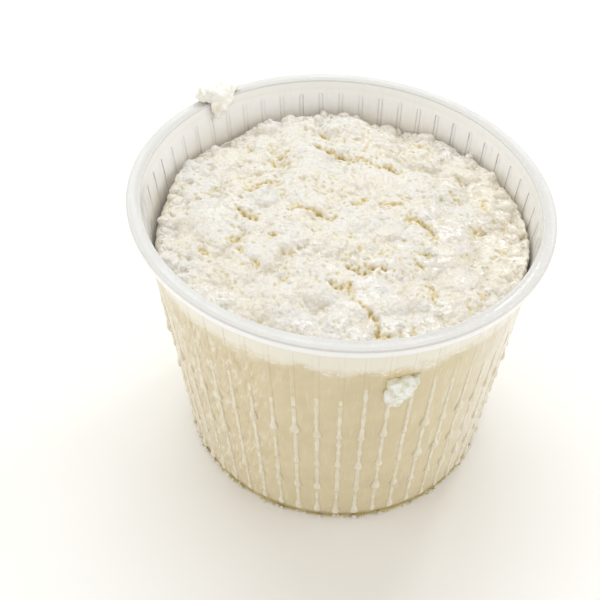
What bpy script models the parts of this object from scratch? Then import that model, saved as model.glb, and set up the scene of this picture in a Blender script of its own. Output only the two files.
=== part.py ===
"""Ricotta in its draining basket, built in metres with +Z up.

The basket is a tapered tub of thin plastic with four rows of tall slots all round and an
outward flange with a down-turned lip. The ricotta fills it to below the rim: its side bulges
into every slot as a ridge that thickens into a drop at the slot's lower end, and its top is a
low dome broken into plates. A smear of curd lies on the flange and a lump sticks to the wall.

Angles are measured about Z from the side that faces -Y, towards +X.
"""
import math

import bmesh
import bpy
import numpy as np
from mathutils import Vector, noise
from mathutils.geometry import delaunay_2d_cdt

# Basket
HEIGHT = 0.1010
RIM_RADIUS = 0.0675
FLANGE_WIDTH = 0.0044
BASE_RADIUS = 0.0540
WALL = 0.0011
FLANGE_THICKNESS = 0.0011
LIP_DEPTH = 0.0026
LIP_ROUND = 0.0010
MOUTH_ROUND = 0.0005
FOOT_HEIGHT = 0.0020
FOOT_WIDTH = 0.0027
FOOT_ROUND = 0.0008
FLOOR_THICKNESS = 0.0012

# Slots in the wall, each row as (lower end, upper end), and radial slots in the floor
SLOT_COUNT = 54
SLOT_WIDTH = 0.0015
SLOT_PHASE = math.radians(2.5)
SLOT_ROWS = ((0.0050, 0.0170), (0.0200, 0.0320), (0.0350, 0.0500), (0.0530, 0.0960))
FLOOR_SLOTS = 18
FLOOR_SLOT_WIDTH = 0.0026
FLOOR_SLOT_RADII = (0.0460, 0.0200)

# Ricotta: the gap to the basket, the ridge in each slot and the drop at the ridge's lower end
GAP = 0.0003
RIDGE_WIDTH = 0.0009
RIDGE_END_GAP = 0.0005
DROP_HEIGHT = 0.0014
DROP_REACH = (0.0003, 0.0009)
RIDGE_TOP = 0.0790

# Ricotta: the rounded edge and the domed top, with waves as (height, length), plates and crevices
SHOULDER = 0.0820
CURD_EDGE = 0.0870
EDGE_INSET = 0.0030
EDGE_UNEVEN = 0.0015
DOME = 0.0060
WAVES = ((0.0011, 0.014), (0.0006, 0.006))
PLATE_COUNT = 46
PLATE_STEP = 0.0011
CREVICE_DEPTH = 0.0015
CREVICE_WIDTH = 0.0035
TOP_SPACING = 0.0045
TOP_JITTER = 0.0011
SEED = 7

# Loose curd: half sizes along the rim, outwards and up, and its middle as (angle, radius, height)
LUMP_BUMPS = 0.5
SMEAR_SIZE = (0.0085, 0.0044, 0.0026)
SMEAR_PLACE = (math.radians(-136), 0.0650, HEIGHT + 0.0014)
LUMP_SIZE = (0.0052, 0.0028, 0.0070)
LUMP_ANGLE = math.radians(19)
LUMP_HEIGHT = 0.0770

# The soft tub has settled a little: the rim stands off the base's axis and out of level
RIM_LEAN = 0.0020
RIM_TILT = 0.035


def wall_outer(z):
    """Radius of the wall's outer face at height z."""
    top = RIM_RADIUS - FLANGE_WIDTH + WALL
    return BASE_RADIUS + (top - BASE_RADIUS) * z / HEIGHT


def wall_inner(z):
    """Radius of the wall's inner face at height z."""
    return wall_outer(z) - WALL


def around(radius, angle, z):
    """Point at this radius and angle, the angle measured from -Y."""
    return Vector((radius * math.sin(angle), -radius * math.cos(angle), z))


def settle(mesh):
    """Lean and tilt the upright shape in proportion to height, leaving the base flat on the ground."""
    for vertex in mesh.verts:
        x, y, z = vertex.co
        share = z / HEIGHT
        vertex.co = Vector((x + RIM_LEAN * (1 - share), y, z - RIM_TILT * x * share))


def finish(name, mesh, material, sharp_angle):
    """Settle the bmesh and make it a named object, smooth up to the sharp angle in degrees."""
    settle(mesh)
    data = bpy.data.meshes.new(name)
    mesh.to_mesh(data)
    mesh.free()
    data.shade_smooth()
    data.set_sharp_from_angle(angle=math.radians(sharp_angle))
    data.materials.append(material)
    piece = bpy.data.objects.new(name, data)
    bpy.context.scene.collection.objects.link(piece)
    return piece


def make_material(name, color, roughness):
    material = bpy.data.materials.new(name)
    material.use_nodes = True
    shader = material.node_tree.nodes["Principled BSDF"]
    shader.inputs["Base Color"].default_value = (*color, 1)
    shader.inputs["Roughness"].default_value = roughness
    shader.inputs["Metallic"].default_value = 0
    return material


# Rings of vertices and the faces between them

def add_ring(mesh, points):
    return [mesh.verts.new(point) for point in points]


def bridge(mesh, lower, upper, skip=()):
    """Quads between two rings of one size, leaving out the sectors in skip."""
    count = len(lower)
    for i in range(count):
        if i not in skip:
            j = (i + 1) % count
            mesh.faces.new((lower[i], lower[j], upper[j], upper[i]))


def turns(ring):
    """How far round from the ring's first point each later point lies, ending with one whole turn."""
    angles = [math.atan2(vertex.co.x, -vertex.co.y) for vertex in ring]
    return [(angle - angles[0]) % math.tau for angle in angles[1:]] + [math.tau]


def zip_rings(mesh, fine, coarse):
    """Triangles between two rings of different size that start at about the same angle."""
    fine_turns, coarse_turns = turns(fine), turns(coarse)
    i = j = 0
    while i < len(fine) or j < len(coarse):
        here, there = fine[i % len(fine)], coarse[j % len(coarse)]
        if j == len(coarse) or (i < len(fine) and fine_turns[i] <= coarse_turns[j]):
            i += 1
            mesh.faces.new((here, fine[i % len(fine)], there))
        else:
            j += 1
            mesh.faces.new((there, here, coarse[j % len(coarse)]))


def paired_ring(mesh, count, width, radius, z):
    """Ring with two points for each slot, one at each of its edges, so every other sector is a slot."""
    half = math.asin(width / 2 / radius)
    points = []
    for k in range(count):
        middle = SLOT_PHASE + math.tau * k / count
        points += [around(radius, middle - half, z), around(radius, middle + half, z)]
    return add_ring(mesh, points)


# The basket

def lip_profile():
    """Section of the flange and its lip, from under the flange round to the inner wall."""
    under = HEIGHT - FLANGE_THICKNESS
    return [
        (wall_outer(under), under),
        (RIM_RADIUS - FLANGE_THICKNESS, under),
        (RIM_RADIUS - FLANGE_THICKNESS, HEIGHT - LIP_DEPTH),
        (RIM_RADIUS, HEIGHT - LIP_DEPTH),
        (RIM_RADIUS, HEIGHT - LIP_ROUND),
        (RIM_RADIUS - 0.3 * LIP_ROUND, HEIGHT - 0.3 * LIP_ROUND),
        (RIM_RADIUS - LIP_ROUND, HEIGHT),
        (RIM_RADIUS - FLANGE_WIDTH + MOUTH_ROUND, HEIGHT),
        (RIM_RADIUS - FLANGE_WIDTH, HEIGHT - MOUTH_ROUND),
    ]


def build_basket(material):
    mesh = bmesh.new()
    slot_sectors = set(range(0, 2 * SLOT_COUNT, 2))
    slot_ends = [z for row in SLOT_ROWS for z in row]
    floor_top = FOOT_HEIGHT + FLOOR_THICKNESS
    foot_outer = BASE_RADIUS - FOOT_ROUND

    def wall_ring(radius, z):
        return paired_ring(mesh, SLOT_COUNT, SLOT_WIDTH, radius, z)

    foot = [wall_ring(foot_outer - FOOT_WIDTH, FOOT_HEIGHT),
            wall_ring(foot_outer - FOOT_WIDTH, 0),
            wall_ring(foot_outer, 0),
            wall_ring(wall_outer(FOOT_ROUND), FOOT_ROUND)]
    outside = [wall_ring(wall_outer(z), z) for z in slot_ends]
    flange = [wall_ring(radius, z) for radius, z in lip_profile()]
    inside = [wall_ring(wall_inner(z), z) for z in slot_ends]
    floor_edge = wall_ring(wall_inner(floor_top), floor_top)

    # Down the foot, up the outside, over the flange and down the inside; a slot's sector stays open
    # between the two ends of its row
    section = foot + outside + flange + inside[::-1] + [floor_edge]
    slotted = {len(foot) + 2 * row for row in range(len(SLOT_ROWS))}
    slotted |= {len(foot) + len(outside) + len(flange) + 2 * row for row in range(len(SLOT_ROWS))}
    for i in range(len(section) - 1):
        bridge(mesh, section[i], section[i + 1], slot_sectors if i in slotted else ())

    # The four faces of every slot, through the wall
    for row in range(len(SLOT_ROWS)):
        outer_low, outer_high = outside[2 * row], outside[2 * row + 1]
        inner_low, inner_high = inside[2 * row], inside[2 * row + 1]
        for left in slot_sectors:
            right = left + 1
            mesh.faces.new((outer_low[left], outer_low[right], inner_low[right], inner_low[left]))
            mesh.faces.new((outer_high[right], outer_high[left], inner_high[left], inner_high[right]))
            mesh.faces.new((outer_low[right], outer_high[right], inner_high[right], inner_low[right]))
            mesh.faces.new((outer_high[left], outer_low[left], inner_low[left], inner_high[left]))

    # The floor, pierced by radial slots
    floor_slots = set(range(0, 2 * FLOOR_SLOTS, 2))
    faces = []
    for edge, z in ((foot[0], FOOT_HEIGHT), (floor_edge, floor_top)):
        far, near = [paired_ring(mesh, FLOOR_SLOTS, FLOOR_SLOT_WIDTH, radius, z) for radius in FLOOR_SLOT_RADII]
        zip_rings(mesh, edge, far)
        bridge(mesh, far, near, floor_slots)
        mesh.faces.new(near)
        faces.append((far, near))
    (far_under, near_under), (far_top, near_top) = faces
    for left in floor_slots:
        right = left + 1
        mesh.faces.new((far_under[left], far_under[right], far_top[right], far_top[left]))
        mesh.faces.new((near_under[right], near_under[left], near_top[left], near_top[right]))
        mesh.faces.new((far_under[right], near_under[right], near_top[right], far_top[right]))
        mesh.faces.new((near_under[left], far_under[left], far_top[left], near_top[left]))
    bmesh.ops.recalc_face_normals(mesh, faces=mesh.faces)
    return finish("basket", mesh, material, 35)


# The ricotta

def plate_field(rng):
    """Centres and step heights of the plates that the curd's top is broken into."""
    radius = wall_inner(CURD_EDGE) * np.sqrt(rng.random(PLATE_COUNT))
    angle = math.tau * rng.random(PLATE_COUNT)
    centres = np.stack([radius * np.sin(angle), -radius * np.cos(angle)], axis=1)
    return centres, rng.uniform(-PLATE_STEP, PLATE_STEP, PLATE_COUNT)


def curd_top(x, y, plates):
    """Height of the curd's top: a dome, soft waves, one step for each plate and a crevice between plates."""
    centres, steps = plates
    reach = wall_inner(CURD_EDGE) - EDGE_INSET
    share = min(1, math.hypot(x, y) / reach)
    z = CURD_EDGE + DOME * (1 - share ** 2.4)
    z += sum(height * noise.noise(Vector((x, y, 0)) / length) for height, length in WAVES)
    distance = np.hypot(centres[:, 0] - x, centres[:, 1] - y)
    near, next_near = np.sort(distance)[:2]
    crevice = max(0, 1 - (next_near - near) / CREVICE_WIDTH)
    calm = 1 - share ** 6
    return z + calm * (steps[distance.argmin()] - CREVICE_DEPTH * crevice)


def ridge_rings(mesh, rng):
    """Rings up the curd's side, three points to a slot: the ridge's two edges and its crest.

    The crest starts level with the curd's side at a slot's upper end, swells through the slot
    and ends as a drop that stands out of it, then falls back before the slot's lower end.
    """
    rings = [side_ring(mesh, FOOT_HEIGHT + FLOOR_THICKNESS + GAP)]
    for low, high in SLOT_ROWS:
        start = low + RIDGE_END_GAP
        rings.append(side_ring(mesh, start))
        rings.append(side_ring(mesh, start + DROP_HEIGHT, rng.uniform(*DROP_REACH, SLOT_COUNT)))
        rings.append(side_ring(mesh, min(high - RIDGE_END_GAP, RIDGE_TOP)))
    return rings


def side_ring(mesh, z, drops=None):
    """One ring of the curd's side at height z, its crests out past the wall where drops are given."""
    radius = wall_inner(z) - GAP
    spread = math.asin(RIDGE_WIDTH / 2 / radius)
    points = []
    for k in range(SLOT_COUNT):
        middle = SLOT_PHASE + math.tau * k / SLOT_COUNT
        crest = radius if drops is None else wall_outer(z) + drops[k]
        points += [around(radius, middle - spread, z), around(crest, middle, z), around(radius, middle + spread, z)]
    return add_ring(mesh, points)


def shoulder_rings(mesh, plates):
    """The rounded edge between the curd's side and its top, uneven round the wall."""
    side, border = [], []
    for k in range(3 * SLOT_COUNT):
        angle = SLOT_PHASE + math.tau * (k - 1) / (3 * SLOT_COUNT)
        uneven = noise.noise(around(2.5, angle, 4))
        radius = wall_inner(SHOULDER) - GAP
        side.append(around(radius, angle, SHOULDER + EDGE_UNEVEN * uneven))
        inner = around(radius - EDGE_INSET * (1 + 0.5 * uneven), angle, 0)
        inner.z = curd_top(inner.x, inner.y, plates)
        border.append(inner)
    return [add_ring(mesh, side), add_ring(mesh, border)]


def fill_top(mesh, border, plates, rng):
    """Triangles over the curd's top, on jittered points inside the border ring."""
    inside = []
    limit = min(vertex.co.xy.length for vertex in border) - 0.5 * TOP_SPACING
    row_step = TOP_SPACING * math.sin(math.radians(60))
    rows = int(RIM_RADIUS / row_step) + 1
    for row in range(-rows, rows + 1):
        for column in range(-rows, rows + 1):
            x = (column + 0.5 * (row % 2)) * TOP_SPACING + rng.uniform(-TOP_JITTER, TOP_JITTER)
            y = row * row_step + rng.uniform(-TOP_JITTER, TOP_JITTER)
            if math.hypot(x, y) < limit:
                inside.append(Vector((x, y)))
    flat = [vertex.co.xy for vertex in border] + inside
    edges = [(i, (i + 1) % len(border)) for i in range(len(border))]
    points, _, triangles, origins, _, _ = delaunay_2d_cdt(flat, edges, [], 1, 1e-7)
    vertices = []
    for point, origin in zip(points, origins):
        if origin[0] < len(border):
            vertices.append(border[origin[0]])
        else:
            vertices.append(mesh.verts.new((point.x, point.y, curd_top(point.x, point.y, plates))))
    for triangle in triangles:
        mesh.faces.new([vertices[i] for i in triangle])


def build_ricotta(material):
    rng = np.random.default_rng(SEED)
    mesh = bmesh.new()
    plates = plate_field(rng)
    rings = ridge_rings(mesh, rng) + shoulder_rings(mesh, plates)
    mesh.faces.new(rings[0])
    for lower, upper in zip(rings, rings[1:]):
        bridge(mesh, lower, upper)
    fill_top(mesh, rings[-1], plates, rng)
    bmesh.ops.recalc_face_normals(mesh, faces=mesh.faces)
    return finish("ricotta", mesh, material, 50)


# Curd outside the basket

def build_lump(name, material, half_sizes, place, keep_clear):
    """Uneven ball of curd in the frame (along the rim, outwards, up), flattened by keep_clear."""
    angle, radius, height = place
    outwards = around(1, angle, 0)
    along = Vector((-math.cos(angle), -math.sin(angle), 0))
    mesh = bmesh.new()
    bmesh.ops.create_icosphere(mesh, subdivisions=3, radius=1)
    for vertex in mesh.verts:
        bump = 1 + LUMP_BUMPS * noise.noise(vertex.co * 1.6 + Vector(place) * 90)
        a, b, c = (vertex.co[i] * half_sizes[i] * bump for i in range(3))
        vertex.co = keep_clear(along * a + outwards * (radius + b) + Vector((0, 0, height + c)))
    return finish(name, mesh, material, 60)


def above_flange(point):
    """Nothing of the smear reaches below the flange's top."""
    return Vector((point.x, point.y, max(point.z, HEIGHT + GAP)))


def outside_wall(point):
    """Nothing of the lump reaches into the wall."""
    radius = math.hypot(point.x, point.y)
    wanted = max(radius, wall_outer(point.z) + GAP)
    return Vector((point.x * wanted / radius, point.y * wanted / radius, point.z))


def clear_scene():
    for piece in list(bpy.data.objects):
        bpy.data.objects.remove(piece)


def main():
    clear_scene()
    plastic = make_material("natural_plastic", (0.80, 0.78, 0.71), 0.35)
    curd = make_material("fresh_curd", (0.89, 0.86, 0.78), 0.75)
    build_basket(plastic)
    build_ricotta(curd)
    build_lump("curd_on_rim", curd, SMEAR_SIZE, SMEAR_PLACE, above_flange)
    lump_place = (LUMP_ANGLE, wall_outer(LUMP_HEIGHT) + LUMP_SIZE[1] / 3, LUMP_HEIGHT)
    build_lump("curd_on_wall", curd, LUMP_SIZE, lump_place, outside_wall)


main()
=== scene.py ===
"""The looks of ricotta in its draining basket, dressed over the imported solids, in metres with +Z up.

Every piece is a surface worked out with numpy in the upright basket: a radius, an angle about Z
from the side that faces -Y, towards +X, and a height. settle() then leans it as the solids lean.
"""

import math

import bmesh
import bpy
import numpy as np
from mathutils import Matrix, Vector


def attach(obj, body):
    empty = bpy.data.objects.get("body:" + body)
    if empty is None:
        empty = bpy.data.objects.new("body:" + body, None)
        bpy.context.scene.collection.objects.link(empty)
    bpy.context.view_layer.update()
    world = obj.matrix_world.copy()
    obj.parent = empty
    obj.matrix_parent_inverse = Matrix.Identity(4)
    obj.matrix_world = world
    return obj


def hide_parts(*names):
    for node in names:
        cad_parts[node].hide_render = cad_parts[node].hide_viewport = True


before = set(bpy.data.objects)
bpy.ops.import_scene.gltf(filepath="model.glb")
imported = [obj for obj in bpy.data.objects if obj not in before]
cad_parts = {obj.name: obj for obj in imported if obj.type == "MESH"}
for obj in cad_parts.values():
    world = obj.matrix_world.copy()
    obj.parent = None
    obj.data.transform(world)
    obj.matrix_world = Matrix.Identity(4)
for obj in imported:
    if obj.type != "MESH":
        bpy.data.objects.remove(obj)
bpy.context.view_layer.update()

MM = 0.001

# Basket, in the same sizes as the part's source
HEIGHT = 0.1010
RIM_RADIUS = 0.0675
FLANGE_WIDTH = 0.0044
BASE_RADIUS = 0.0540
WALL = 0.0011
FLANGE_THICKNESS = 0.0011
LIP_DEPTH = 0.0026
LIP_ROUND = 0.0007
MOUTH_ROUND = 0.0004
FOOT_HEIGHT = 0.0020
FOOT_WIDTH = 0.0027
FOOT_ROUND = 0.0008
FLOOR_THICKNESS = 0.0012
RIM_LEAN = 0.0020
RIM_TILT = 0.035

SLOT_COUNT = 54
SLOT_WIDTH = 0.0015
SLOT_PHASE = math.radians(2.5)
SLOT_ROWS = ((0.0050, 0.0170), (0.0200, 0.0320), (0.0350, 0.0500), (0.0530, 0.0960))
SLOT_MARGIN = 0.4
SLOT_SINK = 0.00004
SLOT_CLEAR = 1.2
WALL_ROW_STEP = 0.0040
WALL_WOBBLE = 0.00010
FLOOR_SLOTS = 18
FLOOR_SLOT_WIDTH = 0.0026
FLOOR_SLOT_RADII = (0.0460, 0.0200)
HUB_RADIUS = 0.0010

# Each slot's share of a ring: columns across the slot in half widths, then the strip to the next one
ACROSS_SLOT = np.array([-1 - SLOT_MARGIN, -1, -0.6, 0, 0.6, 1, 1 + SLOT_MARGIN])
STRIP_COLUMNS = 3
ACROSS_COUNT = len(ACROSS_SLOT)
PER_SLOT = ACROSS_COUNT + STRIP_COLUMNS
RING = SLOT_COUNT * PER_SLOT
PER_FLOOR_SLOT = RING // FLOOR_SLOTS
SLOT_MIDDLES = SLOT_PHASE + math.tau * np.arange(SLOT_COUNT) / SLOT_COUNT

# Ricotta, in the same sizes as the part's source
GAP = 0.0003
SHOULDER = 0.0820
CURD_EDGE = 0.0870
EDGE_INSET = 0.0030
EDGE_UNEVEN = 0.0015
DOME = 0.0060
WAVES = ((0.0011, 0.014), (0.0006, 0.006))
PLATE_COUNT = 46
PLATE_STEP = 0.0011
CREVICE_DEPTH = 0.0006
CREVICE_WIDTH = 0.0026
SEED = 7

# Creases seen on the curd's top, each as depth, half width and its line, all in millimetres
CREASES = (
    (2.2, 0.9, (-10, 35.5), (-7.1, 34.7), (-1.6, 32.6), (3, 30.7), (6.4, 30.2), (10.9, 26)),
    (2.4, 1.1, (13.5, 26.6), (19.2, 25.6)),
    (1.2, 0.7, (-9.8, 45.8), (-7.9, 44.2)),
    (1.3, 0.7, (-3.6, 41.6), (-1.1, 41.3)),
    (1.2, 0.6, (-33.6, 34.2), (-32.4, 33)),
    (1.5, 0.6, (-21.7, 29.5), (-19.8, 32.2)),
    (1.2, 0.6, (-24.1, 25.4), (-22.5, 23.4)),
    (1.3, 0.8, (-22.9, 16.6), (-22.1, 14.9)),
    (1.7, 0.9, (-30.9, 9.7), (-26, 10.3), (-21.4, 10)),
    (1.2, 0.8, (-19.4, 6.3), (-18.3, 4.8)),
    (1.5, 0.7, (-16.5, -2.1), (-14.7, 0.3), (-8, -2.1), (-2, -4.1)),
    (2.3, 1.0, (-32, -1.8), (-30.1, -4.2), (-27.1, -5.4)),
    (1.2, 0.7, (-44.7, 7.5), (-43.2, 6.9)),
    (1.1, 0.7, (-41.3, 8.9), (-39.7, 7.9)),
    (1.2, 0.7, (-34, 4.9), (-32.3, 3.8)),
    (1.6, 0.8, (-22.4, -14.8), (-20.8, -15.4)),
    (1.3, 0.6, (-33.5, -14), (-32.2, -14.5)),
    (1.4, 0.8, (-32, -19.4), (-30.6, -20.4)),
    (1.2, 0.7, (-44.1, -15.8), (-42.2, -15.5)),
    (1.2, 0.7, (-42.8, -20.2), (-41.4, -21.1)),
    (1.8, 0.8, (8.3, 9.2), (6.1, 5.5), (3.8, 1.6)),
    (1.7, 0.8, (14.2, 6.8), (16.2, 5.6), (18.7, 5.6)),
    (1.4, 0.6, (19.8, 11.1), (19.8, 8.4)),
    (2.0, 0.9, (21.4, 0), (25.1, -2), (29.2, -4.5), (30.5, -9.5)),
    (1.4, 0.7, (46.4, 14.7), (46.9, 11.6)),
    (1.3, 0.6, (39.5, 24.5), (40, 21.1)),
    (1.5, 0.7, (42.8, 0), (46.7, -0.3)),
    (1.5, 0.7, (49.8, -8.7), (52, -10.2)),
    (1.4, 0.7, (55.2, 2), (58, -0.4)),
    (1.1, 0.6, (2.1, -11.6), (3.7, -11.8)),
    (2.2, 0.9, (2.9, -23.9), (5.5, -25.1), (7.9, -27.0), (9.3, -25.4), (12.3, -24.6), (15.1, -24.3)),
    (2.4, 1.0, (-1.7, -31.0), (-0.6, -32.5), (1.1, -32.8), (3.0, -32.3), (3.9, -35.4)),
    (1.5, 0.7, (5.0, -37.2), (7.6, -38.9), (8.3, -40.9), (9.8, -42.9)),
    (2.1, 0.9, (9.8, -42.9), (11.3, -44.5), (12.3, -46.5), (13.2, -48.1), (16.0, -49.3)),
    (1.6, 0.8, (24.4, -19.1), (26.3, -19.6)),
    (1.4, 0.7, (27.3, -28.6), (28.3, -29.7), (28.5, -33.7), (29.5, -35.1)),
    (1.3, 0.7, (25.1, -15.4), (28.3, -15.6)),
    (1.1, 0.6, (-15.6, -34.0), (-14.1, -32.0)),
    (1.4, 0.7, (-25.0, -25.8), (-24.3, -26.9)),
    (1.1, 0.6, (-17.0, -27.2), (-13.1, -28.0)),
    (1.1, 0.7, (22.8, -46.6), (23.4, -45.5)),
    (1.1, 0.7, (18.5, -47.3), (18.9, -48.7)),
    (1.3, 0.7, (38.7, -34.2), (40.1, -35.2)),
    (1.1, 0.6, (35.4, 17.9), (39.2, 12.5)),
    (1.1, 0.6, (38.0, -13.3), (41.0, -13.5)),
    (1.1, 0.6, (41.7, -29.8), (43.2, -31.3)),
    (1.2, 0.7, (13.5, -18), (15, -17.3)),
    (0.9, 1.0, (19.1, 57), (24.4, 56.2), (29.5, 54)),
    (1.0, 1.4, (20.9, 43.7), (28.7, 42.2)),
)

# Patches of the curd's top as middle, half sizes and rise, in millimetres: smooth ones, then raised clumps
SMOOTH_PATCHES = (
    ((-43.4, -7), (9, 6.5), 0.5), ((8, -38), (16, 9), 0.2), ((12, 20), (9, 7), 0.3), ((33, -20), (9, 8), 0.2),
)
CLUMPS = (
    ((-29, 47), (5, 4.2), 2.2), ((-22, 50.5), (3.5, 3), 0.9), ((27, 30), (4, 3), 0.7),
    ((-25.3, 24.6), (2.6, 2.0), 1.4), ((-4, 52), (16, 7), 1.4),
)

# Wet spots seen on the curd, each as its middle and reach in millimetres
WET_SPOTS = (
    ((-1.5, -0.6), 1.6), ((17.5, -12.7), 3.0), ((28.9, -24.8), 3.2), ((35.0, 20.4), 3.0),
    ((44.1, -18.7), 3.4), ((17.2, -44.9), 4.0), ((23.6, -38.2), 2.6), ((3.2, -47.8), 3.0),
    ((-2.2, -25.4), 2.6), ((-10.0, -50.3), 3.0),
)

# Rounded billows on the curd, lobes on these and beads on those, each as spacing and relief
BILLOWS = (0.0105, 0.0048)
LOBES = (0.0046, 0.0024)
BEADS = (0.0021, 0.0010)
PIT_SPACING = 0.0016
SPOT_SPACING = 0.0013
PIT_DEPTH = 0.0006
CREASE_REACH = 1.6
TOP_COUNT = 284

# A density of pits so high that no cell is without one
EVERY_CELL = 1.2

# Loose grains and lumps along the edge: how many, the smallest size and how much larger they grow
GRAIN_TRIES = 9000
GRAIN_SIZE = 0.00040
GRAIN_GROWTH = 0.00050
EDGE_LUMPS = 150
LUMP_SIZE = 0.0010
LUMP_GROWTH = 0.0020

# The curd is swollen against the wall at its right, by this much, at this angle and over this spread
RIGHT_RISE = 0.0022
RIGHT_ANGLE = 1.45
RIGHT_SPREAD = 0.85

# Where the curd has drawn away from the wall: an angle and a half width in degrees, and how far
GAPS = ((-95, 16, 0.0012), (-140, 10, 0.0008))

# Heights over which the wall's colour changes, from the foot's stain up to the flange's top
FOOT_STAIN = (0.0012, 0.0042)
FILL_LINE = 0.0782
CREASES_FADE = (0.080, 0.088)
WET_EDGE = (0.0860, 0.0935)
LIP_FADE = (0.0975, 0.0985)
TOP_FADE = (0.1001, 0.1007)

# Middle, across and up, of the whey that has seeped on to the wall round the lump, and where it fades
LUMP_SEEP = (0.0190, 0.0822)
SEEP_FADE = (0.0038, 0.0058)

# Columns of curd down the wall: where they start and end, their size, and the half width of their drops
COLUMN_STATIONS = 74
COLUMN_TOPS = (0.0770, 0.0850)
COLUMN_FEET = (0.0022, 0.0034)
COLUMN_HALF = 0.00062
COLUMN_PROUD = 0.00023
COLUMN_DEEP = 0.0005
COLUMN_FADE = 0.0120
DROP_HALF = (0.0008, 0.0018)

# Points round the section of a column or a skin: outside the wall, and along its flat back
FRONT_POINTS = 7
BACK_POINTS = 3

# Skins in the slots: how far they stand out of the wall and go in, and their width against the slot's
SKIN_PROUD = 0.00003
SKIN_DEEP = 0.00100
SKIN_OVERLAP = 1.06

# Drops at the foot, and the bead of whey round it
DROPLETS = 220
DROPLET_SIZES = (0.00025, 0.00080)
BEAD_SIZE = 0.00045
FOOT_INSET = 0.0002

# Loose clumps of curd: the cell size of the skin that fuses one, and how far its ripples reach
CLUMP_VOXEL = 0.00032
CLUMP_RIPPLE = 0.00035

TABLE_HALF = 4.0

# Lights as name, place, size, power and colour, all turned to one point
LIT_POINT = (0, 0, 0.06)
LIGHTS = (
    ("window", (-0.14, 0.48, 0.98), 0.8, 5.2, (0.88, 0.955, 1.0)),
    ("left_card", (-1.10, -0.20, 0.42), 0.8, 3.2, (0.95, 0.98, 1.0)),
    ("right_card", (1.10, 0.00, 0.40), 0.8, 3.2, (0.95, 0.98, 1.0)),
    ("front_card", (0.10, -1.25, 0.46), 0.8, 2.1, (0.95, 0.98, 1.0)),
    ("lamp", (0.35, 0.55, 0.75), 0.14, 1.0, (0.94, 0.98, 1.0)),
)
WORLD_COLOUR = (1.0, 0.955, 0.885, 1)
WORLD_STRENGTH = 0.61

# Camera: the middle of the rim is seen at this pixel of the 600-pixel picture, from this high and far
PICTURE_SIZE = 600
FOCAL_PIXELS = 1000
SENSOR = 36
RIM_PIXEL = (342.14, 191.78)
CAMERA_ELEVATION = math.radians(38.92)
CAMERA_DISTANCE = 0.31745
CAMERA_ROLL = math.radians(-3.255)


# Arithmetic on points

def wall_outer(z):
    """Radius of the wall's outer face at height z."""
    top = RIM_RADIUS - FLANGE_WIDTH + WALL
    return BASE_RADIUS + (top - BASE_RADIUS) * z / HEIGHT


def wall_inner(z):
    """Radius of the wall's inner face at height z."""
    return wall_outer(z) - WALL


def around(radius, angle, z):
    """Points at these radii, angles and heights, as an array with x, y and z last."""
    x, y, z = np.broadcast_arrays(radius * np.sin(angle), -radius * np.cos(angle), z)
    return np.stack([x, y, z], axis=-1)


def settle(points):
    """Leans and tilts upright points in proportion to their height, as the soft tub has settled."""
    x, y, z = np.moveaxis(points, -1, 0)
    share = z / HEIGHT
    return np.stack([x + RIM_LEAN * (1 - share), y, z - RIM_TILT * x * share], axis=-1)


def chance(seed, *cells):
    """A random number from 0 to 1 for each lattice cell, the same each time for one cell and seed."""
    mixed = np.full(np.shape(cells[0]), seed + 1, dtype=np.uint64)
    for cell in cells:
        whole = np.asarray(cell).astype(np.int64).astype(np.uint64)
        mixed = (mixed ^ whole) * np.uint64(0x9E3779B97F4A7C15)
        mixed = mixed ^ (mixed >> np.uint64(29))
    return (mixed >> np.uint64(11)).astype(float) / 2.0 ** 53


def wave_field(points, length, seed):
    """Smooth random field from -1 to 1: a random value at each lattice corner, eased between corners."""
    scaled = points / length
    corner = np.floor(scaled)
    part = scaled - corner
    part = part * part * (3 - 2 * part)
    total = 0
    for step in np.ndindex(2, 2, 2):
        weight = np.prod(np.where(step, part, 1 - part), axis=-1)
        total = total + weight * chance(seed, *np.moveaxis(corner + step, -1, 0))
    return 2 * total - 1


def near_cells(x, y, spacing, seed):
    """The nine lattice cells round each point: how far off each one's middle is, and its two chances.

    Every cell has one middle, somewhere in it.
    """
    column, row = np.floor(x / spacing), np.floor(y / spacing)
    for across, along in np.ndindex(3, 3):
        i, j = column + across - 1, row + along - 1
        aside, ahead, first, second = (chance(seed, i, j, number) for number in range(4))
        yield x - (i + aside) * spacing, y - (j + ahead) * spacing, first, second


def grain_layer(x, y, spacing, seed):
    """Height, 0 to 1, of a layer of round grains: the highest of the spheres that lie over each point.

    Each lattice cell holds one sphere with its own middle, radius and depth.
    """
    top = np.zeros_like(x)
    for off_x, off_y, first, second in near_cells(x, y, spacing, seed):
        radius = spacing * (0.46 + 0.30 * first)
        apart = (off_x ** 2 + off_y ** 2) / radius ** 2
        cap = np.maximum(1 - apart, 0) * radius / (0.76 * spacing) - 0.2 * second
        top = np.maximum(top, cap)
    return top


def cell_layer(x, y, spacing, seed):
    """Domes round the middles of scattered cells, and how much further off than its own the next middle lies.

    A dome is 1 at its middle and falls with the square of the distance, measured in spacings.
    """
    near = np.full(x.shape, np.inf)
    next_near = near
    for off_x, off_y, first, _ in near_cells(x, y, spacing, seed):
        apart = np.maximum(np.hypot(off_x, off_y) - 0.25 * spacing * first, 0)
        next_near = np.minimum(next_near, np.maximum(near, apart))
        near = np.minimum(near, apart)
    return 1 - np.minimum(near / spacing, 1) ** 2, next_near - near


def pit_layer(x, y, spacing, seed, density):
    """Strength, 0 to 1, of small round pits: each lattice cell holds one with a chance given by density."""
    deepest = np.zeros_like(x)
    for off_x, off_y, first, second in near_cells(x, y, spacing, seed):
        radius = spacing * (0.20 + 0.20 * first)
        apart = (off_x ** 2 + off_y ** 2) / radius ** 2
        deepest = np.maximum(deepest, ease(density - second, 0, 0.15) * np.exp(-apart))
    return deepest


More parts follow.
